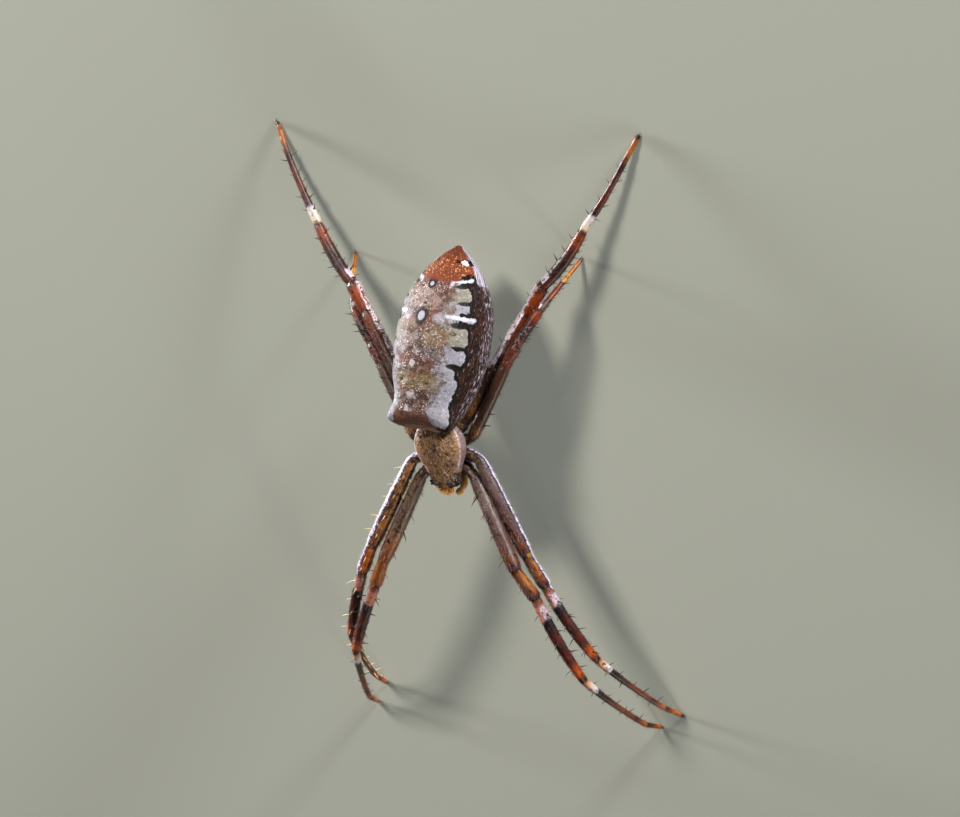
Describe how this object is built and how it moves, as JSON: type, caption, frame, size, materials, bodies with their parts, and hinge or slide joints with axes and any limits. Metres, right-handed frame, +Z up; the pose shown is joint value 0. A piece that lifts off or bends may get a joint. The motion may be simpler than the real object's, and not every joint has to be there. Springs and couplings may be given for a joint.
{
  "type": "orb weaver spider",
  "caption": "Still life-size orb weaver spider, head down with its legs drawn into four pairs, standing on its feet.",
  "frame": {"origin": "middle of the spider's box, on the floor under its feet", "axes": "+Z up, -Y the way the spider faces, +X its left"},
  "size_m": [0.026, 0.0396, 0.0091],
  "materials": {
    "abdomen": "glossy mottled cuticle",
    "spinneret": "dull dark cuticle",
    "prosoma": "tan cuticle with pale lying hairs",
    "underside": "dark cuticle",
    "jaw": "polished dark cuticle",
    "palp": "amber cuticle",
    "eye": "polished dark eyes",
    "leg": "banded red-brown cuticle"
  },
  "bodies": {
    "root": {"abdomen": "abdomen", "carapace": "prosoma", "chelicera_left": "jaw", "chelicera_right": "jaw", "eye_front_lateral_left": "eye", "eye_front_lateral_right": "eye", "eye_front_median_left": "eye", "eye_front_median_right": "eye", "eye_rear_lateral_left": "eye", "eye_rear_lateral_right": "eye", "eye_rear_median_left": "eye", "eye_rear_median_right": "eye", "leg_left_1_coxa": "leg", "leg_left_1_femur": "leg", "leg_left_1_metatarsus": "leg", "leg_left_1_tarsus": "leg", "leg_left_1_tibia": "leg", "leg_left_2_coxa": "leg", "leg_left_2_femur": "leg", "leg_left_2_metatarsus": "leg", "leg_left_2_tarsus": "leg", "leg_left_2_tibia": "leg", "leg_left_3_coxa": "leg", "leg_left_3_femur": "leg", "leg_left_3_metatarsus": "leg", "leg_left_3_tarsus": "leg", "leg_left_3_tibia": "leg", "leg_left_4_coxa": "leg", "leg_left_4_femur": "leg", "leg_left_4_metatarsus": "leg", "leg_left_4_tarsus": "leg", "leg_left_4_tibia": "leg", "leg_right_1_coxa": "leg", "leg_right_1_femur": "leg", "leg_right_1_metatarsus": "leg", "leg_right_1_tarsus": "leg", "leg_right_1_tibia": "leg", "leg_right_2_coxa": "leg", "leg_right_2_femur": "leg", "leg_right_2_metatarsus": "leg", "leg_right_2_tarsus": "leg", "leg_right_2_tibia": "leg", "leg_right_3_coxa": "leg", "leg_right_3_femur": "leg", "leg_right_3_metatarsus": "leg", "leg_right_3_tarsus": "leg", "leg_right_3_tibia": "leg", "leg_right_4_coxa": "leg", "leg_right_4_femur": "leg", "leg_right_4_metatarsus": "leg", "leg_right_4_tarsus": "leg", "leg_right_4_tibia": "leg", "palp_left": "palp", "palp_right": "palp", "pedicel": "underside", "spinnerets": "spinneret", "sternum": "underside"}
  },
  "joints": []
}
